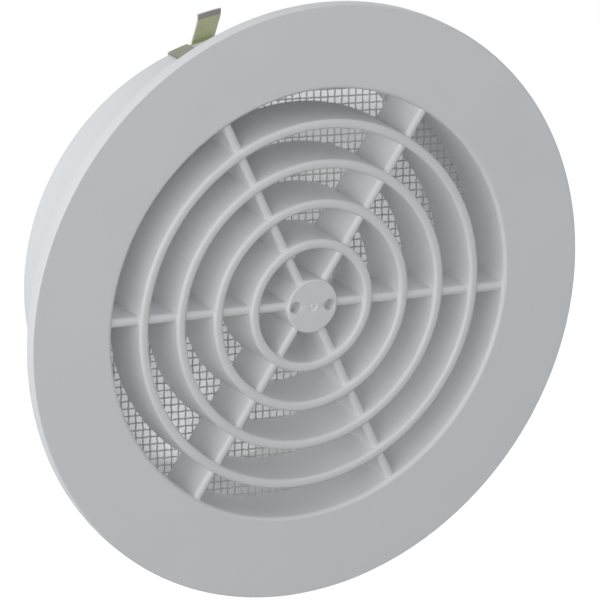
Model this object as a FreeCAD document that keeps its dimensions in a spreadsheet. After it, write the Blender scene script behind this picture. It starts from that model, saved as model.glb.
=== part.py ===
import FreeCAD, Part
import os
import Sketcher

# Round vent cover for the end of a duct: a one-piece moulded cover with a ring grille, an insect
# screen behind the grille and two spring clips that grip the duct.
# The duct's axis is Y. The front faces -Y, +X is to the right seen from the front and +Z is up.
# The origin is on the axis, in the plane of the wall that the rim's back rests on.

# Driving sizes, in millimetres and degrees
SIZES = {
    # Flange, with a rim turned back to the wall
    "flange_radius": 77.0,
    "flange_thickness": 2.2,
    "flange_edge_round": 0.8,
    "rim_depth": 3.4,
    "rim_width": 2.0,
    # Collar that goes into the duct
    "collar_radius": 58.6,
    "collar_wall": 2.2,
    "collar_length": 39.5,
    "collar_root_round": 1.0,
    "collar_end_round": 0.5,
    # Opening in the flange, smaller than the bore by a ledge that the screen's edge rests on
    "screen_ledge": 0.8,
    "opening_round": 1.1,
    # Grille of rings, spokes and a hub, all drafted towards the back
    "grille_depth": 15.2,
    "rib_draft": 0.1,
    "rib_round": 0.85,
    "ring_count": 4,
    "first_ring_radius": 14.8,
    "outer_gap": 7.6,
    "ring_thickness": 2.5,
    "spoke_count": 6,
    "spoke_thickness": 2.4,
    "spoke_recess": 0.9,
    "spoke_round": 0.7,
    "spoke_turn": -5.8,
    "hub_radius": 7.0,
    "hub_round": 0.4,
    "hub_hole_diameter": 3.0,
    "hub_hole_depth": 3.0,
    "hub_hole_round": 0.15,
    "hub_hole_wall": 0.7,
    # Insect screen, seated on the back of the ribs and on the ledge
    "screen_thickness": 0.7,
    "screen_clearance": 0.3,
    "screen_pitch": 2.0,
    "screen_wire": 0.4,
    "screen_border": 0.5,
    "screen_turn": -3.0,
    # Spring clip, one folded strip hooked over the collar's rear edge
    "clip_turn": 96.5,
    "strip_thickness": 0.5,
    "clip_clearance": 0.1,
    "leaf_length": 10.0,
    "tongue_length": 12.0,
    "tongue_width": 5.6,
    "slit_width": 1.3,
    "barb_width": 6.5,
    "barb_rise": 8.2,
    "barb_lean": 5.2,
    "lip_rise": 1.5,
    "lip_lean": 0.3,
    "bend_round": 0.6,
}

# Sizes that follow from the driving ones, as expressions on the sheet
BORE = "(Sizes.collar_radius - Sizes.collar_wall)"
OPENING = f"({BORE} - Sizes.screen_ledge)"
COVER_LENGTH = "(Sizes.rim_depth + Sizes.collar_length)"
LAST_RING = f"({OPENING} - Sizes.outer_gap - Sizes.ring_thickness)"
RING_PITCH = f"(({LAST_RING} - Sizes.first_ring_radius) / (Sizes.ring_count - 1))"
HUB_HOLE_OFFSET = "(Sizes.hub_radius - Sizes.hub_hole_wall - Sizes.hub_hole_diameter / 2)"
SCREEN_RADIUS = f"({BORE} - Sizes.screen_clearance)"
SCREEN_HOLE_RADIUS = f"({SCREEN_RADIUS} - Sizes.screen_border)"
SCREEN_GAPS = f"floor(2 * {SCREEN_HOLE_RADIUS} / Sizes.screen_pitch)"
LEAF_OUTSIDE = f"({BORE} - Sizes.clip_clearance)"
LEAF_INSIDE = f"({LEAF_OUTSIDE} - Sizes.strip_thickness)"
TONGUE_INSIDE = "(Sizes.collar_radius + Sizes.clip_clearance)"
TONGUE_OUTSIDE = f"({TONGUE_INSIDE} + Sizes.strip_thickness)"
FOLD_FRONT = "(Sizes.collar_length + Sizes.clip_clearance)"
FOLD_BACK = f"({FOLD_FRONT} + Sizes.strip_thickness)"
CLIP_WIDTH = "(Sizes.tongue_width + Sizes.slit_width + Sizes.barb_width)"
DEGREES_PER_WIDTH = "(180 / pi / Sizes.collar_radius)"

doc = FreeCAD.newDocument("VentCover")
sheet = doc.addObject("Spreadsheet::Sheet", "Sizes")
for row, (alias, size) in enumerate(SIZES.items(), start=1):
    sheet.set(f"A{row}", alias)
    sheet.set(f"B{row}", str(size))
    sheet.setAlias(f"B{row}", alias)
doc.recompute()


def measure(text):
    """The number that an expression on the sheet gives now."""
    return float(sheet.evalExpression(text))


def new_body(label):
    """An empty body with the name that its file takes."""
    body = doc.addObject("PartDesign::Body", label)
    body.Label = label
    return body


def origin_feature(body, role):
    """One of a body's own origin planes or axes."""
    return next(f for f in body.Origin.OriginFeatures if f.Role == role)


def new_sketch(body, name, plane):
    """An empty sketch on one of the body's origin planes."""
    sketch = body.newObject("Sketcher::SketchObject", name)
    sketch.AttachmentSupport = [(origin_feature(body, plane), "")]
    sketch.MapMode = "FlatFace"
    return sketch


def turn_sketch(sketch, degrees):
    """Turn a sketch on the XY plane about the duct's axis."""
    turn = FreeCAD.Rotation(FreeCAD.Vector(0, 1, 0), measure(degrees))
    sketch.AttachmentOffset = FreeCAD.Placement(FreeCAD.Vector(), turn)
    sketch.setExpression("AttachmentOffset.Rotation.Angle", degrees)


def dimension(sketch, kind, *place, text):
    """Add a dimension whose value follows an expression on the sheet."""
    index = sketch.addConstraint(Sketcher.Constraint(kind, *place, measure(text)))
    sketch.setExpression(f"Constraints[{index}]", text)


def place_point(sketch, line, end, x, y):
    """Hold one end of a line at a place given by two expressions."""
    for kind, axis, text in (("DistanceX", -2, x), ("DistanceY", -1, y)):
        if text == "0":
            sketch.addConstraint(Sketcher.Constraint("PointOnObject", line, end, axis))
        else:
            dimension(sketch, kind, -1, 1, line, end, text=text)


def draw_lines(sketch, corners, closed=True):
    """Draw straight lines through corners given as pairs of expressions."""
    points = [FreeCAD.Vector(measure(x), measure(y), 0) for x, y in corners]
    first = sketch.GeometryCount
    ends = points[1:] + points[:1] if closed else points[1:]
    for start, end in zip(points, ends):
        sketch.addGeometry(Part.LineSegment(start, end), False)
    count = len(ends)
    for step in range(count if closed else count - 1):
        after = first + (step + 1) % count
        sketch.addConstraint(Sketcher.Constraint("Coincident", first + step, 2, after, 1))
    for step, (x, y) in enumerate(corners):
        line, end = (first + step, 1) if step < count else (first + step - 1, 2)
        place_point(sketch, line, end, x, y)


def draw_circle(sketch, radius, x="0"):
    """Draw a circle on the sketch's X axis."""
    centre = FreeCAD.Vector(measure(x), 0, 0)
    circle = sketch.addGeometry(
        Part.Circle(centre, FreeCAD.Vector(0, 0, 1), measure(radius)), False
    )
    place_point(sketch, circle, 3, x, "0")
    dimension(sketch, "Radius", circle, text=radius)


def draw_arc(sketch, start, end, centre, radius):
    """Join two ends of lines, counter-clockwise, by an arc of a given radius."""
    middle = FreeCAD.Vector(measure(centre[0]), measure(centre[1]), 0)
    circle = Part.Circle(middle, FreeCAD.Vector(0, 0, 1), measure(radius))
    angles = [circle.parameter(sketch.getPoint(*place)) for place in (start, end)]
    arc = sketch.addGeometry(Part.ArcOfCircle(circle, *angles), False)
    for end_of_arc, place in ((1, start), (2, end)):
        sketch.addConstraint(Sketcher.Constraint("Coincident", arc, end_of_arc, *place))
    dimension(sketch, "Radius", arc, text=radius)


def add_revolution(body, name, sketch, degrees="360"):
    """Turn a section about the duct's axis, half the angle to each side."""
    feature = body.newObject("PartDesign::Revolution", name)
    feature.Profile = sketch
    feature.ReferenceAxis = (sketch, ["V_Axis"])
    feature.Midplane = True
    feature.Angle = measure(degrees)
    feature.setExpression("Angle", degrees)
    return feature


def add_pad(body, name, sketch, length, backwards=False):
    """Raise a sketch to a length given by an expression."""
    feature = body.newObject("PartDesign::Pad", name)
    feature.Profile = sketch
    feature.Reversed = backwards
    feature.setExpression("Length", length)
    return feature


def add_pocket(body, name, sketch, length):
    """Cut a sketch to a depth, and stop if nothing was cut."""
    doc.recompute()
    before = body.Shape.Volume
    feature = body.newObject("PartDesign::Pocket", name)
    feature.Profile = sketch
    feature.setExpression("Length", length)
    doc.recompute()
    if body.Shape.Volume >= before:
        raise RuntimeError(f"{name} cuts nothing")
    return feature


def round_edges(body, name, radius, circles):
    """Round the circular edges that lie at given pairs of radius and depth along the axis."""
    doc.recompute()
    wanted = [(measure(r), measure(y)) for r, y in circles]
    base = body.Tip
    names = []
    for index, edge in enumerate(base.Shape.Edges, start=1):
        if not isinstance(edge.Curve, Part.Circle):
            continue
        here = (edge.Curve.Radius, edge.Curve.Center.y)
        if any(abs(here[0] - r) < 1e-4 and abs(here[1] - y) < 1e-4 for r, y in wanted):
            names.append(f"Edge{index}")
    if len(names) < len(circles):
        raise RuntimeError(f"{name} finds {len(names)} edges")
    feature = body.newObject("PartDesign::Fillet", name)
    feature.Base = (base, names)
    feature.Radius = measure(radius)
    feature.setExpression("Radius", radius)
    return feature


def put_in_place(body, along, degrees):
    """Set a body along the duct's axis and turn it, counter-clockwise seen from the front."""
    turn = FreeCAD.Rotation(FreeCAD.Vector(0, 1, 0), -measure(degrees))
    body.Placement = FreeCAD.Placement(FreeCAD.Vector(0, measure(along), 0), turn)
    body.setExpression("Placement.Base.y", along)


def make_cover():
    """The moulding: flange, rim, collar and grille, drawn with its front in the plane Y = 0."""
    body = new_body("vent_cover")

    section = new_sketch(body, "shell_section", "XY_Plane")
    draw_lines(
        section,
        [
            (OPENING, "0"),
            ("Sizes.flange_radius", "0"),
            ("Sizes.flange_radius", "Sizes.rim_depth"),
            ("Sizes.flange_radius - Sizes.rim_width", "Sizes.rim_depth"),
            ("Sizes.flange_radius - Sizes.rim_width", "Sizes.flange_thickness"),
            ("Sizes.collar_radius", "Sizes.flange_thickness"),
            ("Sizes.collar_radius", COVER_LENGTH),
            (BORE, COVER_LENGTH),
            (BORE, "Sizes.grille_depth"),
            (OPENING, "Sizes.grille_depth"),
        ],
    )
    add_revolution(body, "shell", section)
    round_edges(body, "opening_edge", "Sizes.opening_round", [(OPENING, "0")])
    round_edges(body, "flange_edge", "Sizes.flange_edge_round", [("Sizes.flange_radius", "0")])
    root = ("Sizes.collar_radius", "Sizes.flange_thickness")
    round_edges(body, "collar_root", "Sizes.collar_root_round", [root])
    ends = [("Sizes.collar_radius", COVER_LENGTH), (BORE, COVER_LENGTH)]
    round_edges(body, "collar_end", "Sizes.collar_end_round", ends)

    section = new_sketch(body, "spoke_section", "YZ_Plane")
    front_half = "(Sizes.spoke_thickness / 2)"
    flat_half = f"({front_half} - Sizes.spoke_round)"
    back_half = f"({front_half} - Sizes.rib_draft)"
    shoulder = "(Sizes.spoke_recess + Sizes.spoke_round)"
    draw_lines(
        section,
        [
            (shoulder, f"-{front_half}"),
            ("Sizes.grille_depth", f"-{back_half}"),
            ("Sizes.grille_depth", back_half),
            (shoulder, front_half),
        ],
        closed=False,
    )
    flat = [("Sizes.spoke_recess", flat_half), ("Sizes.spoke_recess", f"-{flat_half}")]
    draw_lines(section, flat, closed=False)
    draw_arc(section, (2, 2), (3, 1), (shoulder, flat_half), "Sizes.spoke_round")
    draw_arc(section, (3, 2), (0, 1), (shoulder, f"-{flat_half}"), "Sizes.spoke_round")
    spoke = add_pad(body, "spoke", section, f"({OPENING} + Sizes.collar_radius) / 2")
    doc.recompute()
    spokes = body.newObject("PartDesign::PolarPattern", "spokes")
    spokes.Originals = [spoke]
    spokes.Axis = (origin_feature(body, "Y_Axis"), [""])
    spokes.Angle = 360
    spokes.Occurrences = int(measure("Sizes.spoke_count"))
    spokes.setExpression("Occurrences", "Sizes.spoke_count")
    body.Tip = spokes

    section = new_sketch(body, "ring_sections", "XY_Plane")
    ring_edges = []
    for ring in range(int(measure("Sizes.ring_count"))):
        inside = f"(Sizes.first_ring_radius + {ring} * {RING_PITCH})"
        outside = f"({inside} + Sizes.ring_thickness)"
        draw_lines(
            section,
            [
                (inside, "0"),
                (outside, "0"),
                (f"{outside} - Sizes.rib_draft", "Sizes.grille_depth"),
                (f"{inside} + Sizes.rib_draft", "Sizes.grille_depth"),
            ],
        )
        ring_edges += [(inside, "0"), (outside, "0")]
    add_revolution(body, "rings", section)

    section = new_sketch(body, "hub_section", "XY_Plane")
    draw_lines(
        section,
        [
            ("0", "0"),
            ("Sizes.hub_radius", "0"),
            ("Sizes.hub_radius - Sizes.rib_draft", "Sizes.grille_depth"),
            ("0", "Sizes.grille_depth"),
        ],
    )
    add_revolution(body, "hub", section)

    holes = new_sketch(body, "hub_hole_pair", "XZ_Plane")
    for side in ("", "-"):
        draw_circle(holes, "Sizes.hub_hole_diameter / 2", f"{side}{HUB_HOLE_OFFSET}")
    add_pocket(body, "hub_holes", holes, "Sizes.hub_hole_depth")

    rounding = "min(Sizes.rib_round; 0.95 * Sizes.spoke_recess)"
    round_edges(body, "ring_edges", rounding, ring_edges)
    round_edges(body, "hub_edge", "Sizes.hub_round", [("Sizes.hub_radius", "0")])
    hole = ("Sizes.hub_hole_diameter / 2", "0")
    round_edges(body, "hub_hole_edges", "Sizes.hub_hole_round", [hole])
    put_in_place(body, "-Sizes.rim_depth", "Sizes.spoke_turn")
    return body


def make_screen():
    """The screen: upright wires at their real pitch, held by a border and one wire across."""
    body = new_body("insect_screen")
    disc = new_sketch(body, "disc_outline", "XZ_Plane")
    draw_circle(disc, SCREEN_RADIUS)
    add_pad(body, "disc", disc, "Sizes.screen_thickness", backwards=True)

    gap = new_sketch(body, "gap_pair", "XZ_Plane")
    near = f"(-({SCREEN_GAPS} - 1) * Sizes.screen_pitch / 2)"
    half_gap = "(Sizes.screen_pitch - Sizes.screen_wire) / 2"
    for side in ("", "-"):
        draw_lines(
            gap,
            [
                (f"{near} - {half_gap}", f"{side}Sizes.screen_wire / 2"),
                (f"{near} + {half_gap}", f"{side}Sizes.screen_wire / 2"),
                (f"{near} + {half_gap}", f"{side}{SCREEN_RADIUS}"),
                (f"{near} - {half_gap}", f"{side}{SCREEN_RADIUS}"),
            ],
        )
    cut = add_pocket(body, "gaps_at_edge", gap, "Sizes.screen_thickness")
    gaps = body.newObject("PartDesign::LinearPattern", "gaps")
    gaps.Originals = [cut]
    gaps.Direction = (origin_feature(body, "X_Axis"), [""])
    gaps.setExpression("Length", f"({SCREEN_GAPS} - 1) * Sizes.screen_pitch")
    gaps.Occurrences = int(measure(SCREEN_GAPS))
    gaps.setExpression("Occurrences", SCREEN_GAPS)
    body.Tip = gaps

    border = new_sketch(body, "border_outline", "XZ_Plane")
    draw_circle(border, SCREEN_RADIUS)
    draw_circle(border, SCREEN_HOLE_RADIUS)
    add_pad(body, "border", border, "Sizes.screen_thickness", backwards=True)
    put_in_place(body, "Sizes.grille_depth - Sizes.rim_depth", "Sizes.screen_turn")
    return body


def make_clip(label, half_turns):
    """A spring clip, drawn with its barb in the XY plane and Y = 0 in the plane of the wall."""
    body = new_body(label)

    leaf = new_sketch(body, "leaf_section", "XY_Plane")
    leaf_middle = f"(({CLIP_WIDTH} - Sizes.barb_width) / 2 * {DEGREES_PER_WIDTH})"
    turn_sketch(leaf, f"-{leaf_middle}")
    draw_lines(
        leaf,
        [
            (LEAF_INSIDE, "Sizes.collar_length - Sizes.leaf_length"),
            (LEAF_OUTSIDE, "Sizes.collar_length - Sizes.leaf_length"),
            (LEAF_OUTSIDE, FOLD_FRONT),
            ("Sizes.collar_radius", FOLD_FRONT),
            ("Sizes.collar_radius", FOLD_BACK),
            (LEAF_INSIDE, FOLD_BACK),
        ],
    )
    add_revolution(body, "leaf", leaf, f"{CLIP_WIDTH} * {DEGREES_PER_WIDTH}")

    tongue = new_sketch(body, "tongue_section", "XY_Plane")
    tongue_middle = f"(({CLIP_WIDTH} - (Sizes.barb_width + Sizes.tongue_width) / 2)"
    turn_sketch(tongue, f"-{tongue_middle} * {DEGREES_PER_WIDTH})")
    draw_lines(
        tongue,
        [
            ("Sizes.collar_radius", FOLD_FRONT),
            (TONGUE_INSIDE, FOLD_FRONT),
            (TONGUE_INSIDE, "Sizes.collar_length - Sizes.tongue_length"),
            (TONGUE_OUTSIDE, "Sizes.collar_length - Sizes.tongue_length"),
            (TONGUE_OUTSIDE, FOLD_BACK),
            ("Sizes.collar_radius", FOLD_BACK),
        ],
    )
    add_revolution(body, "tongue", tongue, f"Sizes.tongue_width * {DEGREES_PER_WIDTH}")
    folds = [(LEAF_INSIDE, FOLD_BACK), (TONGUE_OUTSIDE, FOLD_BACK)]
    round_edges(body, "folds", "Sizes.bend_round", folds)

    fold_middle = f"({FOLD_FRONT} + Sizes.strip_thickness / 2)"
    barb_foot = f"({TONGUE_INSIDE} + Sizes.strip_thickness / 2)"
    path = new_sketch(body, "barb_path", "XY_Plane")
    draw_lines(
        path,
        [
            (BORE, fold_middle),
            (barb_foot, fold_middle),
            (f"{barb_foot} + Sizes.barb_rise", f"{fold_middle} - Sizes.barb_lean"),
            (
                f"{barb_foot} + Sizes.barb_rise + Sizes.lip_rise",
                f"{fold_middle} - Sizes.barb_lean - Sizes.lip_lean",
            ),
        ],
        closed=False,
    )
    strip = new_sketch(body, "barb_section", "YZ_Plane")
    strip.AttachmentOffset = FreeCAD.Placement(
        FreeCAD.Vector(0, 0, measure(BORE)), FreeCAD.Rotation()
    )
    strip.setExpression("AttachmentOffset.Base.z", BORE)
    draw_lines(
        strip,
        [
            (FOLD_FRONT, "-Sizes.barb_width / 2"),
            (FOLD_BACK, "-Sizes.barb_width / 2"),
            (FOLD_BACK, "Sizes.barb_width / 2"),
            (FOLD_FRONT, "Sizes.barb_width / 2"),
        ],
    )
    doc.recompute()
    barb = body.newObject("PartDesign::AdditivePipe", "barb")
    barb.Profile = strip
    barb.Spine = (path, [f"Edge{n}" for n in range(1, path.GeometryCount + 1)])
    barb.Transition = "Round corner"
    put_in_place(body, "0", f"Sizes.clip_turn + {half_turns} * 180")
    return body


subparts = [
    make_cover(),
    make_screen(),
    make_clip("spring_clip_upper", 0),
    make_clip("spring_clip_lower", 1),
]
doc.recompute()

for item in doc.Objects:
    if {"Invalid", "Error"} & set(item.State):
        raise RuntimeError(f"{item.Label} failed: {item.State}")
for body in subparts:
    if body.Shape.isNull() or not body.Shape.isValid():
        raise RuntimeError(f"{body.Label} has no valid shape")

os.makedirs("parts", exist_ok=True)
for body in subparts:
    body.Shape.exportStep(f"parts/{body.Label}.step")
    box = body.Shape.optimalBoundingBox()
    print(
        f"{body.Label}: {len(body.Shape.Solids)} solid, {body.Shape.Volume:.1f} mm3, "
        f"X {box.XMin:.2f} {box.XMax:.2f}, Y {box.YMin:.2f} {box.YMax:.2f}, "
        f"Z {box.ZMin:.2f} {box.ZMax:.2f}"
    )
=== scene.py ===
import logging
import math
from contextlib import contextmanager
from dataclasses import dataclass, replace
from enum import Enum
from typing import Callable, Iterator, Sequence

import bmesh
import bpy
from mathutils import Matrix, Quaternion, Vector


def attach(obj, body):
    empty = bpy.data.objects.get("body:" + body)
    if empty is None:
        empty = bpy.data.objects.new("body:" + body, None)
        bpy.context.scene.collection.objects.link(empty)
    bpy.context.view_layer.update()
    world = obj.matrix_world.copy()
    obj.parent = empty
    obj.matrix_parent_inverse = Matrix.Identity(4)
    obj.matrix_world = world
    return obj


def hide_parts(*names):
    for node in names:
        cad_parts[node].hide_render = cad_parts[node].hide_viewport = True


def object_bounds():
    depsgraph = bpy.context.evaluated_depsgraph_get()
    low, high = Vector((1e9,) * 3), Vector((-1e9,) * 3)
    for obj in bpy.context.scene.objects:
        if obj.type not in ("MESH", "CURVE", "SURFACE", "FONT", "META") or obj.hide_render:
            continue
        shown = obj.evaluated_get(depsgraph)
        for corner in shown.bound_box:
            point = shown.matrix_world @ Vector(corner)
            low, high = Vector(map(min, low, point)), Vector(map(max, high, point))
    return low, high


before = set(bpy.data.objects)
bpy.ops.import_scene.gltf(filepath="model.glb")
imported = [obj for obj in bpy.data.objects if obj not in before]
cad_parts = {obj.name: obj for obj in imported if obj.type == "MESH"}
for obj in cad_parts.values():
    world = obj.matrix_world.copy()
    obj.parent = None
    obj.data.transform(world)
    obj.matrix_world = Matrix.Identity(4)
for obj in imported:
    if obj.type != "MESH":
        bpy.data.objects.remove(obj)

LOG = logging.getLogger("vent_cover_looks")
CAD_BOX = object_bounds()
MM = 0.001
# Points that are closer than this, in millimetres, are one point
SAME_PLACE = 0.001
# Noise values that a finish spreads over its whole range
NOISE_RANGE = (0.3, 0.7)
Triple = tuple[float, float, float]
Colour = Triple


class Element(Enum):
    """The mesh elements that an edit acts on."""

    VERT = "VERT"
    EDGE = "EDGE"
    FACE = "FACE"


class Join(Enum):
    """How a tool piece changes the piece it is applied to."""

    ADD = "UNION"
    CUT = "DIFFERENCE"


def pick_object(obj: bpy.types.Object) -> None:
    """Select one object alone and make it the active one."""
    bpy.ops.object.select_all(action="DESELECT")
    obj.select_set(True)
    bpy.context.view_layer.objects.active = obj


@contextmanager
def editing(obj: bpy.types.Object) -> Iterator[None]:
    """Hold an object in edit mode, with nothing selected to begin with."""
    pick_object(obj)
    bpy.ops.object.mode_set(mode="EDIT")
    bpy.ops.mesh.select_mode(type="VERT")
    bpy.ops.mesh.select_all(action="DESELECT")
    yield
    bpy.ops.object.mode_set(mode="OBJECT")


def pick(obj: bpy.types.Object, element: Element, wanted: Callable[[Vector], bool]) -> int:
    """Select the elements of a mesh in edit mode that lie where asked.

    Args:
        obj: The object that is being edited.
        element: The kind of element to select.
        wanted: Tells whether a point, in metres, is in the place asked for.

    Returns:
        The number of elements that were selected.
    """
    bpy.ops.mesh.select_mode(type=element.value)
    bpy.ops.mesh.select_all(action="DESELECT")
    mesh = bmesh.from_edit_mesh(obj.data)
    items = {Element.VERT: mesh.verts, Element.EDGE: mesh.edges, Element.FACE: mesh.faces}
    count = 0
    for item in items[element]:
        points = [item] if element is Element.VERT else item.verts
        if all(wanted(point.co) for point in points):
            item.select_set(True)
            count += 1
    mesh.select_flush_mode()
    bmesh.update_edit_mesh(obj.data)
    return count


def near(value: float, target: float, slack: float = 0.01) -> bool:
    """Tell whether a length in metres is at a place in millimetres."""
    return abs(value / MM - target) < slack


def settle(obj: bpy.types.Object) -> None:
    """Put an object's place, turn and scale into its mesh."""
    pick_object(obj)
    bpy.ops.object.transform_apply(location=True, rotation=True, scale=True)


def turn_about_axis(obj: bpy.types.Object, degrees: float) -> None:
    """Turn an object about the duct's axis, anticlockwise seen from the front."""
    obj.rotation_euler = (0.0, math.radians(-degrees), 0.0)
    settle(obj)


def copy_of(obj: bpy.types.Object, name: str) -> bpy.types.Object:
    """Duplicate an object with a mesh of its own."""
    pick_object(obj)
    bpy.ops.object.duplicate()
    twin = bpy.context.active_object
    twin.name = name
    return twin


def join_meshes(first: bpy.types.Object, others: Sequence[bpy.types.Object]) -> None:
    """Join several meshes into the first one."""
    bpy.ops.object.select_all(action="DESELECT")
    for other in others:
        other.select_set(True)
    first.select_set(True)
    bpy.context.view_layer.objects.active = first
    bpy.ops.object.join()


def apply_modifier(obj: bpy.types.Object, kind: str, **settings: object) -> None:
    """Add a modifier with the given settings and apply it.

    Args:
        obj: The object to change.
        kind: The modifier's type name.
        **settings: Values for the modifier's properties.
    """
    modifier = obj.modifiers.new(kind.title(), kind)
    for name, value in settings.items():
        setattr(modifier, name, value)
    pick_object(obj)
    bpy.ops.object.modifier_apply(modifier=modifier.name)


def combine(obj: bpy.types.Object, tool: bpy.types.Object, how: Join) -> None:
    """Add a tool piece to an object, or cut it out, and remove the tool."""
    apply_modifier(obj, "BOOLEAN", operation=how.value, object=tool, solver="EXACT")
    bpy.data.objects.remove(tool, do_unlink=True)


def tidy_mesh(obj: bpy.types.Object, merge: float = SAME_PLACE) -> None:
    """Merge doubles within a distance in millimetres and turn the faces outward."""
    with editing(obj):
        bpy.ops.mesh.select_all(action="SELECT")
        bpy.ops.mesh.remove_doubles(threshold=merge * MM)
        bpy.ops.mesh.dissolve_degenerate(threshold=merge * MM)
        bpy.ops.mesh.normals_make_consistent(inside=False)


def smooth(obj: bpy.types.Object, degrees: float = 35.0) -> None:
    """Smooth the shading below an angle and keep flat faces flat."""
    pick_object(obj)
    bpy.ops.object.shade_smooth_by_angle(angle=math.radians(degrees))
    apply_modifier(obj, "WEIGHTED_NORMAL", keep_sharp=True, weight=50)


@dataclass(frozen=True)
class Corner:
    """A corner of a turned section, in millimetres.

    Attributes:
        radius: Distance from the duct's axis.
        depth: Place along the axis.
        rounding: Length that the rounded corner takes off each side.
    """

    radius: float
    depth: float
    rounding: float = 0.0


def start_point(name: str, place: Vector) -> bpy.types.Object:
    """Make an object whose mesh is one vertex, from a plane merged to its centre."""
    bpy.ops.object.select_all(action="DESELECT")
    bpy.ops.mesh.primitive_plane_add(size=MM, location=place)
    obj = bpy.context.active_object
    obj.name = name
    settle(obj)
    with editing(obj):
        bpy.ops.mesh.select_all(action="SELECT")
        bpy.ops.mesh.merge(type="CENTER")
    return obj


def turned(name: str, corners: Sequence[Corner], steps: int, round_steps: int = 4) -> bpy.types.Object:
    """Turn a closed section round the duct's axis.

    Args:
        name: The new object's name.
        corners: The section's corners in order.
        steps: Number of steps round the axis.
        round_steps: Number of steps in each rounded corner.

    Returns:
        The turned body, closed and with its faces outward.
    """
    points = [Vector((c.radius, c.depth, 0.0)) * MM for c in corners]
    obj = start_point(name, points[0])
    with editing(obj):
        bpy.ops.mesh.select_all(action="SELECT")
        for here, there in zip(points, points[1:] + points[:1]):
            bpy.ops.mesh.extrude_vertices_move(TRANSFORM_OT_translate={"value": there - here})
        bpy.ops.mesh.select_all(action="SELECT")
        bpy.ops.mesh.remove_doubles(threshold=SAME_PLACE * MM)
        reach = 2.0 * SAME_PLACE * MM
        for corner, point in zip(corners, points):
            if corner.rounding:
                pick(obj, Element.VERT, lambda co, point=point: (co - point).length < reach)
                bpy.ops.mesh.bevel(offset=corner.rounding * MM, segments=round_steps, affect="VERTICES")
        bpy.ops.mesh.select_all(action="SELECT")
        bpy.ops.mesh.spin(steps=steps, angle=math.tau, center=(0.0, 0.0, 0.0), axis=(0.0, 1.0, 0.0))
    tidy_mesh(obj)
    return obj


@dataclass
class NodeSheet:
    """A node tree with short calls for adding and joining nodes."""

    tree: bpy.types.NodeTree

    def add(self, kind: str, **settings: object) -> bpy.types.Node:
        """Add a node and set its properties."""
        node = self.tree.nodes.new(kind)
        for name, value in settings.items():
            setattr(node, name, value)
        return node

    def join(self, source: bpy.types.NodeSocket, target: bpy.types.NodeSocket) -> None:
        """Join an output socket to an input socket."""
        self.tree.links.new(source, target)


def variation_group() -> bpy.types.NodeTree:
    """Give the group that makes broad patches and fine grain for every finish.

    Returns:
        A shader node group with a vector and two scales in, and a patch mask
        and a grain height out, both from 0 to 1.
    """
    name = "surface_variation"
    if name in bpy.data.node_groups:
        return bpy.data.node_groups[name]
    tree = bpy.data.node_groups.new(name, "ShaderNodeTree")
    tree.interface.new_socket("Vector", in_out="INPUT", socket_type="NodeSocketVector")
    tree.interface.new_socket("Patch Scale", in_out="INPUT", socket_type="NodeSocketFloat")
    tree.interface.new_socket("Grain Scale", in_out="INPUT", socket_type="NodeSocketFloat")
    tree.interface.new_socket("Patch", in_out="OUTPUT", socket_type="NodeSocketFloat")
    tree.interface.new_socket("Grain", in_out="OUTPUT", socket_type="NodeSocketFloat")
    sheet = NodeSheet(tree)
    given = sheet.add("NodeGroupInput")
    made = sheet.add("NodeGroupOutput")
    for scale, result, detail in (("Patch Scale", "Patch", 3.0), ("Grain Scale", "Grain", 2.0)):
        noise = sheet.add("ShaderNodeTexNoise")
        noise.inputs["Detail"].default_value = detail
        spread = sheet.add("ShaderNodeMapRange")
        spread.inputs["From Min"].default_value, spread.inputs["From Max"].default_value = NOISE_RANGE
        sheet.join(given.outputs["Vector"], noise.inputs["Vector"])
        sheet.join(given.outputs[scale], noise.inputs["Scale"])
        sheet.join(noise.outputs["Fac"], spread.inputs["Value"])
        sheet.join(spread.outputs["Result"], made.inputs[result])
    return tree


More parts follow.
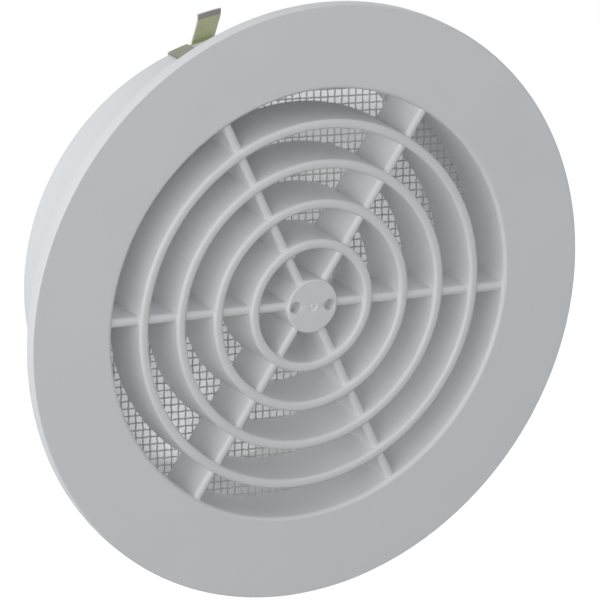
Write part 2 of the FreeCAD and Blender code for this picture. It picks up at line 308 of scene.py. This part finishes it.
@dataclass(frozen=True)
class Finish:
    """A procedural finish on object coordinates.

    Attributes:
        name: The material's name.
        colours: Two to four colours that the patches run between.
        roughness: Least and greatest roughness.
        metallic: 1 for bare metal and 0 for the rest.
        patch_scale: How many colour patches there are in a metre.
        grain_scale: How many grains there are in a metre.
        grain_depth: Height of the grain in millimetres.
        stretch: Scale of the coordinates along each axis, for drawn metal.
    """

    name: str
    colours: tuple[Colour, ...]
    roughness: tuple[float, float]
    metallic: float
    patch_scale: float
    grain_scale: float
    grain_depth: float
    stretch: Triple = (1.0, 1.0, 1.0)

    def material(self) -> bpy.types.Material:
        """Build the material.

        Returns:
            A material with colour, roughness and bump from its nodes.
        """
        made = bpy.data.materials.new(self.name)
        made.use_nodes = True
        sheet = NodeSheet(made.node_tree)
        shader = made.node_tree.nodes["Principled BSDF"]
        shader.inputs["Metallic"].default_value = self.metallic
        place = sheet.add("ShaderNodeTexCoord")
        mapping = sheet.add("ShaderNodeMapping")
        mapping.inputs["Scale"].default_value = self.stretch
        group = sheet.add("ShaderNodeGroup", node_tree=variation_group())
        group.inputs["Patch Scale"].default_value = self.patch_scale
        group.inputs["Grain Scale"].default_value = self.grain_scale
        sheet.join(place.outputs["Object"], mapping.inputs["Vector"])
        sheet.join(mapping.outputs["Vector"], group.inputs["Vector"])
        ramp = sheet.add("ShaderNodeValToRGB")
        for number, colour in enumerate(self.colours):
            at = number / (len(self.colours) - 1)
            stops = ramp.color_ramp.elements
            stop = stops[number] if number < 2 else stops.new(at)
            stop.position, stop.color = at, (*colour, 1.0)
        sheet.join(group.outputs["Patch"], ramp.inputs["Fac"])
        sheet.join(ramp.outputs["Color"], shader.inputs["Base Color"])
        rough = sheet.add("ShaderNodeMapRange")
        rough.inputs["To Min"].default_value, rough.inputs["To Max"].default_value = self.roughness
        sheet.join(group.outputs["Grain"], rough.inputs["Value"])
        sheet.join(rough.outputs["Result"], shader.inputs["Roughness"])
        bump = sheet.add("ShaderNodeBump")
        bump.inputs["Strength"].default_value = 1.0
        bump.inputs["Distance"].default_value = self.grain_depth * MM
        sheet.join(group.outputs["Grain"], bump.inputs["Height"])
        sheet.join(bump.outputs["Normal"], shader.inputs["Normal"])
        return made


WHITE_PLASTIC = Finish(
    name="satin_white_plastic",
    colours=((0.855, 0.866, 0.878), (0.868, 0.876, 0.885), (0.88, 0.886, 0.892)),
    roughness=(0.40, 0.50),
    metallic=0.0,
    patch_scale=45.0,
    grain_scale=1400.0,
    grain_depth=0.004,
)
COATED_MESH = Finish(
    name="matt_pale_mesh",
    colours=((0.72, 0.73, 0.71), (0.80, 0.81, 0.79)),
    roughness=(0.5, 0.65),
    metallic=0.0,
    patch_scale=160.0,
    grain_scale=5000.0,
    grain_depth=0.01,
)
PASSIVATED_STEEL = Finish(
    name="yellow_passivated_steel",
    colours=((0.68, 0.67, 0.43), (0.64, 0.68, 0.44), (0.61, 0.65, 0.47), (0.68, 0.62, 0.45)),
    roughness=(0.34, 0.48),
    metallic=1.0,
    patch_scale=120.0,
    grain_scale=900.0,
    grain_depth=0.003,
    stretch=(1.0, 6.0, 1.0),
)
ROSY_STEEL = replace(
    PASSIVATED_STEEL,
    name="rosy_passivated_steel",
    colours=((0.45, 0.38, 0.37), (0.48, 0.43, 0.40)),
    stretch=(1.0, 1.0, 1.0),
)
# Passivated steel darkened for the tongue: painted shade standing in for the darker reflection that the
# tongue shows
PAINTED_DARK_REFLECTION_STEEL = replace(
    PASSIVATED_STEEL,
    name="worn_passivated_steel",
    colours=((0.27, 0.27, 0.21), (0.32, 0.32, 0.25)),
    roughness=(0.4, 0.55),
)
DULL_STEEL = replace(
    PASSIVATED_STEEL,
    name="dull_passivated_steel",
    colours=((0.42, 0.43, 0.415), (0.46, 0.47, 0.445)),
    roughness=(0.45, 0.6),
)
CUT_STEEL = Finish(
    name="cut_steel_edge",
    colours=((0.50, 0.47, 0.45), (0.62, 0.58, 0.55)),
    roughness=(0.35, 0.5),
    metallic=1.0,
    patch_scale=300.0,
    grain_scale=2500.0,
    grain_depth=0.006,
)
CLIP_STEELS = (PASSIVATED_STEEL, ROSY_STEEL, CUT_STEEL, DULL_STEEL, PAINTED_DARK_REFLECTION_STEEL)


def coat(obj: bpy.types.Object, finishes: Sequence[Finish]) -> None:
    """Give a piece its finishes, in the order of its material slots."""
    for finish in finishes:
        obj.data.materials.append(bpy.data.materials.get(finish.name) or finish.material())


def hand_over(obj: bpy.types.Object, node: str) -> None:
    """Tie a dressed piece to the CAD node that it stands for.

    Args:
        obj: The finished piece.
        node: The CAD node.
    """
    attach(obj, "root")
    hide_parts(node)
    LOG.info("%s: %d faces", obj.name, len(obj.data.polygons))


@dataclass
class MouldedCover:
    """The white moulding: flange, turned-back rim, collar, rings, spokes and hub.

    All lengths are in millimetres and all angles in degrees. Each value with
    round in its name is the length that a rounded edge takes off its sides.

    Attributes:
        weld_flare: How much wider a ring is at its rear, on each side, where the
            screen is welded on.
        spoke_recess: How far the spokes lie behind the rings' front edges.
        spoke_turn: Angle of the first spoke from the right, anticlockwise.
        gate_steps: Width and rise of each step from the edge of the moulding
            gate's dimple to its middle.
        seam_step: Hidden step that keeps two joined rear faces out of one plane.
        steps: Number of steps round the axis.
    """

    flange_radius: float = 76.98
    flange_thickness: float = 2.2
    flange_edge_round: float = 0.4
    rim_depth: float = 3.4
    rim_width: float = 2.0
    rim_round: float = 0.2
    rim_root_round: float = 0.4
    collar_radius: float = 58.6
    bore: float = 56.4
    collar_length: float = 39.5
    collar_root_round: float = 1.0
    collar_end_round: float = 0.5
    opening_radius: float = 55.6
    opening_round: float = 1.1
    grille_depth: float = 15.9
    rib_draft: float = 0.1
    weld_flare: float = 0.35
    weld_round: float = 0.1
    rib_round: float = 0.85
    ring_count: int = 4
    first_ring_radius: float = 14.8
    outer_gap: float = 7.6
    ring_thickness: float = 2.5
    spoke_count: int = 6
    spoke_thickness: float = 2.4
    spoke_recess: float = 0.9
    spoke_round: float = 1.05
    spoke_turn: float = -5.8
    hub_radius: float = 7.0
    hub_round: float = 0.4
    hub_sides: int = 96
    hub_hole_diameter: float = 3.0
    hub_hole_depth: float = 3.0
    hub_hole_offset: float = 4.8
    hub_hole_round: float = 0.15
    hub_hole_sides: int = 48
    gate_radius: float = 1.3
    gate_steps: tuple[tuple[float, float], ...] = ((0.2, -0.22), (0.5, 0.0), (0.15, 0.18))
    seam_step: float = 0.01
    steps: int = 240

    @property
    def front(self) -> float:
        """Depth of the front plane."""
        return -self.rim_depth

    @property
    def grille_back(self) -> float:
        """Depth of the ribs' rear edges."""
        return self.front + self.grille_depth

    def build(self) -> bpy.types.Object:
        """Model the moulding as one closed mesh.

        Returns:
            The cover's object.
        """
        cover = self.shell()
        for number in range(self.ring_count):
            combine(cover, self.ring(number), Join.ADD)
        for number in range(self.spoke_count // 2):
            combine(cover, self.spoke_pair(number), Join.ADD)
        combine(cover, self.hub(), Join.ADD)
        for side in (-1.0, 1.0):
            combine(cover, self.hole_cutter(side), Join.CUT)
        cover.name = "vent_cover_moulding"
        tidy_mesh(cover)
        self.break_hole_edges(cover)
        smooth(cover)
        return cover

    def shell(self) -> bpy.types.Object:
        """Turn the flange, rim and collar from one section."""
        plate_back = self.front + self.flange_thickness
        rim_inside = self.flange_radius - self.rim_width
        return turned(
            "shell",
            (
                Corner(self.opening_radius, self.front, self.opening_round),
                Corner(self.flange_radius, self.front, self.flange_edge_round),
                Corner(self.flange_radius, 0.0, self.rim_round),
                Corner(rim_inside, 0.0, self.rim_round),
                Corner(rim_inside, plate_back, self.rim_root_round),
                Corner(self.collar_radius, plate_back, self.collar_root_round),
                Corner(self.collar_radius, self.collar_length, self.collar_end_round),
                Corner(self.bore, self.collar_length, self.collar_end_round),
                Corner(self.bore, self.grille_back, self.weld_round),
                Corner(self.opening_radius - self.weld_flare, self.grille_back, self.weld_round),
            ),
            self.steps,
        )

    def ring(self, number: int) -> bpy.types.Object:
        """Turn one ring of the grille, wider at its rear where the screen is welded on."""
        last = self.opening_radius - self.outer_gap - self.ring_thickness
        pitch = (last - self.first_ring_radius) / (self.ring_count - 1)
        inside = self.first_ring_radius + number * pitch
        outside = inside + self.ring_thickness
        return turned(
            "ring",
            (
                Corner(inside, self.front, self.rib_round),
                Corner(outside, self.front, self.rib_round),
                Corner(outside + self.weld_flare, self.grille_back, self.weld_round),
                Corner(inside - self.weld_flare, self.grille_back, self.weld_round),
            ),
            self.steps,
            round_steps=3,
        )

    def spoke_pair(self, number: int) -> bpy.types.Object:
        """Shape two spokes in line from a tapered bar with rounded front edges."""
        front = self.front + self.spoke_recess
        back = self.grille_back - 2.0 * self.seam_step
        bpy.ops.object.select_all(action="DESELECT")
        bpy.ops.mesh.primitive_cube_add(size=2.0)
        bar = bpy.context.active_object
        reach = (self.opening_radius + self.collar_radius) / 2.0
        bar.scale = Vector((reach, (back - front) / 2.0, self.spoke_thickness / 2.0)) * MM
        bar.location.y = (back + front) / 2.0 * MM
        settle(bar)
        with editing(bar):
            pick(bar, Element.VERT, lambda co: near(co.y, back))
            thinner = 1.0 - 2.0 * self.rib_draft / self.spoke_thickness
            bpy.ops.transform.resize(value=(1.0, 1.0, thinner), center_override=(0.0, back * MM, 0.0))
            pick(bar, Element.EDGE, lambda co: near(co.y, front))
            bpy.ops.mesh.bevel(offset=self.spoke_round * MM, segments=4)
        turn_about_axis(bar, self.spoke_turn + number * 360.0 / self.spoke_count)
        return bar

    def hub(self) -> bpy.types.Object:
        """Shape the hub with a rounded front edge and the moulding gate's small dimple."""
        back = self.grille_back - self.seam_step
        bpy.ops.object.select_all(action="DESELECT")
        bpy.ops.mesh.primitive_cylinder_add(
            vertices=self.hub_sides,
            radius=self.hub_radius * MM,
            depth=(back - self.front) * MM,
            location=(0.0, (back + self.front) / 2.0 * MM, 0.0),
            rotation=(math.pi / 2.0, 0.0, 0.0),
        )
        hub = bpy.context.active_object
        settle(hub)
        with editing(hub):
            pick(hub, Element.EDGE, lambda co: near(co.y, self.front))
            bpy.ops.mesh.bevel(offset=self.hub_round * MM, segments=3)
            pick(hub, Element.FACE, lambda co: near(co.y, self.front))
            face = self.hub_radius - self.hub_round
            bpy.ops.mesh.inset(thickness=(face - self.gate_radius) * MM, depth=0.0)
            for width, rise in self.gate_steps:
                bpy.ops.mesh.inset(thickness=width * MM, depth=rise * MM)
        return hub

    def hole_cutter(self, side: float) -> bpy.types.Object:
        """Make the cutter of one hub hole on the spokes' line."""
        bpy.ops.object.select_all(action="DESELECT")
        bpy.ops.mesh.primitive_cylinder_add(
            vertices=self.hub_hole_sides,
            radius=self.hub_hole_diameter / 2.0 * MM,
            depth=2.0 * self.hub_hole_depth * MM,
            location=(side * self.hub_hole_offset * MM, self.front * MM, 0.0),
            rotation=(math.pi / 2.0, 0.0, 0.0),
        )
        cutter = bpy.context.active_object
        settle(cutter)
        turn_about_axis(cutter, self.spoke_turn)
        return cutter

    def break_hole_edges(self, cover: bpy.types.Object) -> None:
        """Break the front edges of the hub holes."""
        angle = math.radians(self.spoke_turn)
        along = Vector((math.cos(angle), 0.0, math.sin(angle))) * self.hub_hole_offset * MM

        def on_edge(co: Vector) -> bool:
            """Tell whether a point is on the front edge of a hole."""
            flat = Vector((co.x, 0.0, co.z))
            away = min((flat - along).length, (flat + along).length)
            at_radius = near(away, self.hub_hole_diameter / 2.0, slack=0.02)
            return at_radius and near(co.y, self.front, slack=0.05)

        with editing(cover):
            if pick(cover, Element.EDGE, on_edge):
                bpy.ops.mesh.bevel(offset=self.hub_hole_round * MM, segments=2)

    def dress(self, cover: bpy.types.Object) -> None:
        """Give the cover its plastic and tie it to its node."""
        coat(cover, (WHITE_PLASTIC,))
        hand_over(cover, "vent_cover")


@dataclass
class WovenScreen:
    """The plain-woven insect screen behind the grille, in millimetres and degrees.

    Attributes:
        front: Depth of the weave's front, on the rear edges of the ribs.
        wire: Diameter of a wire.
        border: Width of the thin band that the wires end in.
        wire_inset: How far inside the band's edge the wires end.
        turn: Turn of the whole screen about the duct's axis.
        skew: Slope of the wires across, from the weave being pulled.
        sides: Number of sides of a wire.
    """

    radius: float = 56.1
    front: float = MouldedCover.grille_depth - MouldedCover.rim_depth
    pitch: float = 2.0
    wire: float = 0.38
    border: float = 0.5
    border_round: float = 0.15
    border_steps: int = 144
    wire_inset: float = 0.1
    turn: float = -1.0
    skew: float = -5.5
    sides: int = 6
    smooth_angle: float = 80.0

    @property
    def middle(self) -> float:
        """Depth of the weave's middle plane."""
        return self.front + self.wire

    def build(self) -> bpy.types.Object:
        """Weave the wires both ways and bind their ends.

        Returns:
            The screen's object.
        """
        warp = self.strands()
        weft = copy_of(warp, "weft")
        weft.rotation_euler = (math.pi, math.pi / 2.0, 0.0)
        weft.location.y = 2.0 * self.middle * MM
        settle(weft)
        join_meshes(warp, [weft])
        self.pull_askew(warp)
        self.trim(warp)
        join_meshes(warp, [self.binding()])
        warp.name = "insect_screen_weave"
        turn_about_axis(warp, self.turn)
        pick_object(warp)
        bpy.ops.object.shade_smooth_by_angle(angle=math.radians(self.smooth_angle))
        return warp

    def strand(self, rising: float) -> bpy.types.Object:
        """Draw one wavy wire across the disc, over one wire and under the next.

        Args:
            rising: 1 for a wire that starts towards the rear, and -1 for the other kind.

        Returns:
            The wire, in the middle of the disc.
        """
        count = 2 * math.ceil(self.radius / self.pitch)
        bpy.ops.object.select_all(action="DESELECT")
        bpy.ops.mesh.primitive_circle_add(
            vertices=self.sides,
            radius=self.wire / 2.0 * MM,
            location=(-count * self.pitch / 2.0 * MM, self.middle * MM, 0.0),
            rotation=(0.0, math.pi / 2.0, 0.0),
        )
        wire = bpy.context.active_object
        settle(wire)
        quarter_waves = (1.0, -1.0, -1.0, 1.0)
        with editing(wire):
            bpy.ops.mesh.select_all(action="SELECT")
            for number in range(2 * count):
                sign = rising * quarter_waves[number % len(quarter_waves)]
                move = Vector((self.pitch / 2.0, sign * self.wire / 2.0, 0.0)) * MM
                bpy.ops.mesh.extrude_region_move(TRANSFORM_OT_translate={"value": move})
        return wire

    def strands(self) -> bpy.types.Object:
        """Repeat the two kinds of wire across the disc."""
        rows = 2 * math.ceil(self.radius / (2.0 * self.pitch)) + 1
        first = self.strand(1.0)
        second = self.strand(-1.0)
        for wire, shift in ((first, -0.5), (second, 0.5)):
            wire.location.z = (shift - (rows - 1)) * self.pitch * MM
            settle(wire)
            apply_modifier(
                wire,
                "ARRAY",
                count=rows,
                use_relative_offset=False,
                use_constant_offset=True,
                constant_offset_displace=(0.0, 0.0, 2.0 * self.pitch * MM),
            )
        join_meshes(first, [second])
        return first

    def pull_askew(self, weave: bpy.types.Object) -> None:
        """Slope the wires across, as a weave is pulled when it is laid on."""
        for vert in weave.data.vertices:
            vert.co.z += vert.co.x * math.tan(math.radians(self.skew))

    def trim(self, weave: bpy.types.Object) -> None:
        """Take off what is outside the disc and close the wires' ends."""
        edge = (self.radius - self.wire_inset) * MM
        with editing(weave):
            pick(weave, Element.VERT, lambda co: math.hypot(co.x, co.z) > edge)
            bpy.ops.mesh.delete(type="VERT")
            bpy.ops.mesh.select_all(action="DESELECT")
            bpy.ops.mesh.select_mode(type="VERT")
            bpy.ops.mesh.select_loose()
            bpy.ops.mesh.delete(type="EDGE")
            bpy.ops.mesh.select_all(action="SELECT")
            bpy.ops.mesh.fill_holes(sides=0)
            bpy.ops.mesh.normals_make_consistent(inside=False)

    def binding(self) -> bpy.types.Object:
        """Turn the thin band that the wires end in."""
        inside = self.radius - self.border
        back = self.front + 2.0 * self.wire
        return turned(
            "binding",
            (
                Corner(inside, self.front, self.border_round),
                Corner(self.radius, self.front, self.border_round),
                Corner(self.radius, back, self.border_round),
                Corner(inside, back, self.border_round),
            ),
            self.border_steps,
            round_steps=2,
        )

    def dress(self, weave: bpy.types.Object) -> None:
        """Give the screen its coating and tie it to its node."""
        coat(weave, (COATED_MESH,))
        hand_over(weave, "insect_screen")


def even_places(start: float, length: float, columns: int) -> list[float]:
    """Give the evenly spaced places that part a length into columns."""
    return [start + length * number / columns for number in range(columns + 1)]


def rounded_bend(
    start: Vector, corner: Vector, end: Vector, setback: float, steps: int = 4
) -> list[Vector]:
    """Give the points of a rounded bend between two straight runs.

    Args:
        start: A point on the run before the bend.
        corner: Where the two runs would meet.
        end: A point on the run after the bend.
        setback: How far from the corner the bend begins and ends.
        steps: Number of steps in the bend.

    Returns:
        The bend's points in order.
    """
    first = corner + (start - corner).normalized() * setback
    last = corner + (end - corner).normalized() * setback
    points = []
    for number in range(steps + 1):
        at = number / steps
        points.append(first * (1.0 - at) ** 2 + corner * 2.0 * at * (1.0 - at) + last * at**2)
    return points


def extrude_along(points: Sequence[Vector]) -> None:
    """Extrude the selected edges from point to point, skipping steps of no length."""
    for here, there in zip(points, points[1:]):
        step = (there - here) * MM
        if step.length > SAME_PLACE * MM:
            bpy.ops.mesh.extrude_region_move(TRANSFORM_OT_translate={"value": step})


class ClipPlace(Enum):
    """Where a spring clip sits on the collar, with its half turns."""

    UPPER = 0
    LOWER = 1


@dataclass
class SpringClip:
    """A folded strip of spring steel over the collar's rear edge, in millimetres and degrees.

    Attributes:
        place: Which of the two clips it is.
        clearance: Gap between the strip and the collar.
        turn: Angle of the upper clip from the right, anticlockwise.
        barb_rise: How far the barb stands out from the collar.
        barb_lean: How far the barb's end lies in front of its root.
        lip_rise: How far the lip stands out from the barb's end.
        lip_lean: How far the lip's end lies in front of the barb's end.
        lip_bend: Setback of the bend between the barb and the lip.
        lip_tint: How far below the lip its rosy tint begins.
        bend: Setback of the strip's other bends.
        edge_break: Width of the broken edges.
    """

    place: ClipPlace
    collar_radius: float = MouldedCover.collar_radius
    bore: float = MouldedCover.bore
    collar_length: float = MouldedCover.collar_length
    clearance: float = 0.1
    thickness: float = 0.49
    turn: float = 96.5
    leaf_length: float = 10.0
    tongue_length: float = 13.5
    tongue_width: float = 5.6
    slit_width: float = 1.3
    barb_width: float = 6.5
    barb_rise: float = 7.45
    barb_lean: float = 5.2
    lip_rise: float = 1.5
    lip_lean: float = 0.3
    lip_bend: float = 1.0
    lip_tint: float = 0.2
    bend: float = 0.45
    edge_break: float = 0.05
    barb_columns: int = 6
    tongue_columns: int = 5

    @property
    def stand_off(self) -> float:
        """Distance of the strip's middle from the collar's surfaces."""
        return self.clearance + self.thickness / 2.0

    @property
    def fold_depth(self) -> float:
        """Depth of the strip's middle behind the collar's rear edge."""
        return self.collar_length + self.stand_off

    def build(self) -> bpy.types.Object:
        """Fold the strip and wrap it to the collar.

        Returns:
            The clip's object.
        """
        clip = self.flat_strip()
        self.wrap(clip)
        apply_modifier(
            clip,
            "SOLIDIFY",
            thickness=self.thickness * MM,
            offset=0.0,
            use_even_offset=True,
            material_offset_rim=CLIP_STEELS.index(CUT_STEEL),
        )
        apply_modifier(
            clip,
            "BEVEL",
            width=self.edge_break * MM,
            segments=2,
            limit_method="ANGLE",
            angle_limit=math.radians(60.0),
        )
        tidy_mesh(clip, merge=SAME_PLACE / 2.0)
        turn_about_axis(clip, self.turn + 180.0 * self.place.value)
        clip.name = f"spring_clip_{self.place.name.lower()}_strip"
        smooth(clip, degrees=40.0)
        return clip

    def flat_strip(self) -> bpy.types.Object:
        """Extrude the strip's middle sheet along its folds.

        Returns:
            The sheet with the place across the strip in Z, the distance from
            the axis in X and the depth in Y.
        """
        leaf = self.bore - self.stand_off
        tongue = self.collar_radius + self.stand_off
        fold = self.fold_depth
        half = self.barb_width / 2.0
        slit_end = half + self.slit_width
        across = even_places(-half, self.barb_width, self.barb_columns)
        across += even_places(slit_end, self.tongue_width, self.tongue_columns)
        split = tongue - self.bend
        leaf_end = Vector((leaf, self.collar_length - self.leaf_length, 0.0))
        inner, outer = Vector((leaf, fold, 0.0)), Vector((tongue, fold, 0.0))
        tip = outer + Vector((self.barb_rise, -self.barb_lean, 0.0))
        lip = tip + Vector((self.lip_rise, -self.lip_lean, 0.0))
        tongue_end = Vector((tongue, self.collar_length - self.tongue_length, 0.0))
        sheet = start_point("strip", Vector((leaf, leaf_end.y, across[0])) * MM)
        coat(sheet, CLIP_STEELS)
        with editing(sheet):
            bpy.ops.mesh.select_all(action="SELECT")
            for here, there in zip(across, across[1:]):
                step = Vector((0.0, 0.0, there - here)) * MM
                bpy.ops.mesh.extrude_vertices_move(TRANSFORM_OT_translate={"value": step})
            bpy.ops.mesh.select_all(action="SELECT")
            fold_bend = rounded_bend(leaf_end, inner, outer, self.bend)
            root = [leaf_end, *fold_bend, Vector((split, fold, 0.0))]
            extrude_along(root)
            ends = root[-1]
            self.pick_end(sheet, ends, slit_end, math.inf)
            tongue_bend = rounded_bend(ends, outer, tongue_end, self.bend)
            extrude_along([*tongue_bend, tongue_end])
            self.pick_end(sheet, ends, -math.inf, half)
            barb_bend = rounded_bend(ends, outer, tip, self.bend)
            lip_bend = rounded_bend(outer, tip, lip, self.lip_bend)
            extrude_along([*barb_bend, *lip_bend, lip])
            self.recoat(sheet, ROSY_STEEL, lambda co: co.x > (tip.x - self.lip_tint) * MM)
            self.recoat(sheet, DULL_STEEL, lambda co: near(co.x, leaf))
            # The tongue's faces get the darkened steel, a painted dark reflection
            self.recoat(sheet, PAINTED_DARK_REFLECTION_STEEL, lambda co: near(co.x, tongue))
        tidy_mesh(sheet)
        return sheet

    def recoat(self, sheet: bpy.types.Object, finish: Finish, wanted: Callable[[Vector], bool]) -> None:
        """Put another of the strip's finishes on the faces that lie where asked."""
        pick(sheet, Element.FACE, wanted)
        sheet.active_material_index = sheet.data.materials.find(finish.name)
        bpy.ops.object.material_slot_assign()

    def pick_end(self, sheet: bpy.types.Object, at: Vector, low: float, high: float) -> None:
        """Select the sheet's end edges between two places across the strip.

        Args:
            sheet: The sheet that is being edited.
            at: Where the sheet ends, with the distance from the axis and the depth.
            low: Least place across the strip.
            high: Greatest place across the strip.
        """
        slack = 10.0 * SAME_PLACE

        def wanted(co: Vector) -> bool:
            """Tell whether a point is on the end and between the places."""
            level = near(co.x, at.x) and near(co.y, at.y)
            return level and low - slack < co.z / MM < high + slack

        pick(sheet, Element.EDGE, wanted)

    def wrap(self, sheet: bpy.types.Object) -> None:
        """Bend the sheet round the duct's axis, with the width kept at each distance."""
        for vert in sheet.data.vertices:
            radius, across = vert.co.x, vert.co.z
            angle = across / radius
            vert.co.x = radius * math.cos(angle)
            vert.co.z = radius * math.sin(angle)

    def dress(self, clip: bpy.types.Object) -> None:
        """Tie the clip to its node, as its steel is on it since it was a sheet."""
        hand_over(clip, f"spring_clip_{self.place.name.lower()}")


@dataclass(frozen=True)
class SoftLamp:
    """A square soft light that points at the object.

    Attributes:
        name: The lamp's name.
        power: Its power in watts.
        away: Direction that its light comes from.
        size: Its side in metres.
        distance: How far away it is in metres.
        floor_only: Whether it lights the floor alone.
    """

    name: str
    power: float
    away: Triple
    size: float
    distance: float = 1.6
    floor_only: bool = False


@dataclass
class Studio:
    """Pale floor, white surroundings, soft lamps and the camera.

    Attributes:
        floor_size: Side of the floor in metres.
        floor_shade: The floor's colour as it lights the object.
        floor_seen: The floor's colour as the camera sees it, exposed to white.
        ambient: Colour and strength of the surroundings' light.
        lamps: The soft lamps.
        azimuth: The camera's angle round the object in degrees.
        elevation: The camera's angle above the horizon in degrees.
        roll: The camera's turn about its own line of sight in degrees.
        distance: The camera's distance in metres.
        lens: The camera's focal length in millimetres.
        sensor: Width of the camera's sensor in millimetres.
        clip_range: Least and greatest distance that the camera sees, in metres.
        aim: What the camera looks at, from the middle of the front: to the
            right and up in the picture, in millimetres.
    """

    floor_size: float = 5.0
    floor_shade: float = 0.05
    floor_seen: float = 0.66
    ambient: Colour = (0.45, 0.46, 0.475)
    lamps: tuple[SoftLamp, ...] = (
        SoftLamp("side_lamp", power=10.0, away=(-0.97, -0.05, 0.15), size=1.2),
        SoftLamp("front_lamp", power=9.8, away=(-0.7, -0.7, 0.1), size=1.2),
        SoftLamp(
            "floor_lamp",
            power=880.0,
            away=(-0.455, -0.817, 0.354),
            size=0.45,
            distance=5.0,
            floor_only=True,
        ),
    )
    azimuth: float = -29.1
    elevation: float = 20.7
    roll: float = -0.5
    distance: float = 1.116
    lens: float = 271.0
    sensor: float = 36.0
    clip_range: tuple[float, float] = (0.05, 20.0)
    aim: tuple[float, float] = (-3.15, 1.6)

    def build(self) -> None:
        """Set up everything that isn't the object."""
        floor = self.floor()
        self.surroundings()
        for lamp in self.lamps:
            self.hang(lamp, floor)
        self.camera()
        scene = bpy.context.scene
        scene.view_settings.view_transform = "Standard"

    def seen_ray(self, sheet: NodeSheet) -> bpy.types.NodeSocket:
        """Give a mask of the rays that should see plain white."""
        rays = sheet.add("ShaderNodeLightPath")
        total = rays.outputs["Is Camera Ray"]
        for name in ("Is Glossy Ray", "Is Transmission Ray"):
            both = sheet.add("ShaderNodeMath", operation="MAXIMUM")
            sheet.join(total, both.inputs[0])
            sheet.join(rays.outputs[name], both.inputs[1])
            total = both.outputs["Value"]
        return total

    def floor(self) -> bpy.types.Object:
        """Lay a pale floor that shows white with the object's shadow.

        Returns:
            The floor's object.
        """
        bpy.ops.object.select_all(action="DESELECT")
        bpy.ops.mesh.primitive_plane_add(size=self.floor_size, location=(0.0, 0.0, CAD_BOX[0].z))
        floor = bpy.context.active_object
        floor.name = "studio_floor"
        settle(floor)
        made = bpy.data.materials.new("pale_floor")
        made.use_nodes = True
        made.node_tree.nodes.clear()
        sheet = NodeSheet(made.node_tree)
        level = sheet.add("ShaderNodeMapRange")
        level.inputs["To Min"].default_value = self.floor_shade
        level.inputs["To Max"].default_value = self.floor_seen
        paint = sheet.add("ShaderNodeBsdfDiffuse")
        out = sheet.add("ShaderNodeOutputMaterial")
        sheet.join(self.seen_ray(sheet), level.inputs["Value"])
        sheet.join(level.outputs["Result"], paint.inputs["Color"])
        sheet.join(paint.outputs["BSDF"], out.inputs["Surface"])
        floor.data.materials.append(made)
        return floor

    def surroundings(self) -> None:
        """Light the object evenly and show white behind it."""
        world = bpy.data.worlds.new("white_room")
        world.use_nodes = True
        bpy.context.scene.world = world
        sheet = NodeSheet(world.node_tree)
        light = world.node_tree.nodes["Background"]
        mix = sheet.add("ShaderNodeMix", data_type="RGBA")
        mix.inputs["A"].default_value = (*self.ambient, 1.0)
        mix.inputs["B"].default_value = (1.0, 1.0, 1.0, 1.0)
        sheet.join(self.seen_ray(sheet), mix.inputs["Factor"])
        sheet.join(mix.outputs["Result"], light.inputs["Color"])

    def hang(self, lamp: SoftLamp, floor: bpy.types.Object) -> None:
        """Hang one soft lamp and point it at the object.

        Args:
            lamp: The lamp to hang.
            floor: The floor, for a lamp that lights nothing else.
        """
        light = bpy.data.lights.new(lamp.name, "AREA")
        light.energy = lamp.power
        light.size = lamp.size
        holder = bpy.data.objects.new(lamp.name, light)
        bpy.context.scene.collection.objects.link(holder)
        away = Vector(lamp.away).normalized()
        holder.location = away * lamp.distance
        holder.rotation_euler = away.to_track_quat("Z", "Y").to_euler()
        if lamp.floor_only:
            lit = bpy.data.collections.new(f"{lamp.name}_lit")
            lit.objects.link(floor)
            holder.light_linking.receiver_collection = lit

    def camera(self) -> None:
        """Stand the camera where the photograph was taken from."""
        around, above = math.radians(self.azimuth), math.radians(self.elevation)
        right = Vector((math.cos(around), math.sin(around), 0.0))
        level_back = Vector((math.sin(around), -math.cos(around), 0.0))
        back = level_back * math.cos(above) + Vector((0.0, 0.0, math.sin(above)))
        up = back.cross(right)
        target = Vector((0.0, CAD_BOX[0].y, 0.0)) + (right * self.aim[0] + up * self.aim[1]) * MM
        view = bpy.data.cameras.new("camera")
        view.lens = self.lens
        view.sensor_width = self.sensor
        view.clip_start, view.clip_end = self.clip_range
        holder = bpy.data.objects.new("camera", view)
        bpy.context.scene.collection.objects.link(holder)
        holder.rotation_mode = "QUATERNION"
        holder.location = target + back * self.distance
        level = (-back).to_track_quat("-Z", "Y")
        holder.rotation_quaternion = level @ Quaternion((0.0, 0.0, 1.0), math.radians(self.roll))
        bpy.context.scene.camera = holder


def main() -> None:
    """Build and dress the cover, the screen and the clips, and set the stage."""
    logging.basicConfig(level=logging.INFO, format="%(name)s: %(message)s")
    pieces = [MouldedCover(), WovenScreen(), SpringClip(ClipPlace.UPPER), SpringClip(ClipPlace.LOWER)]
    for piece in pieces:
        piece.dress(piece.build())
    Studio().build()


if __name__ == "__main__":
    main()
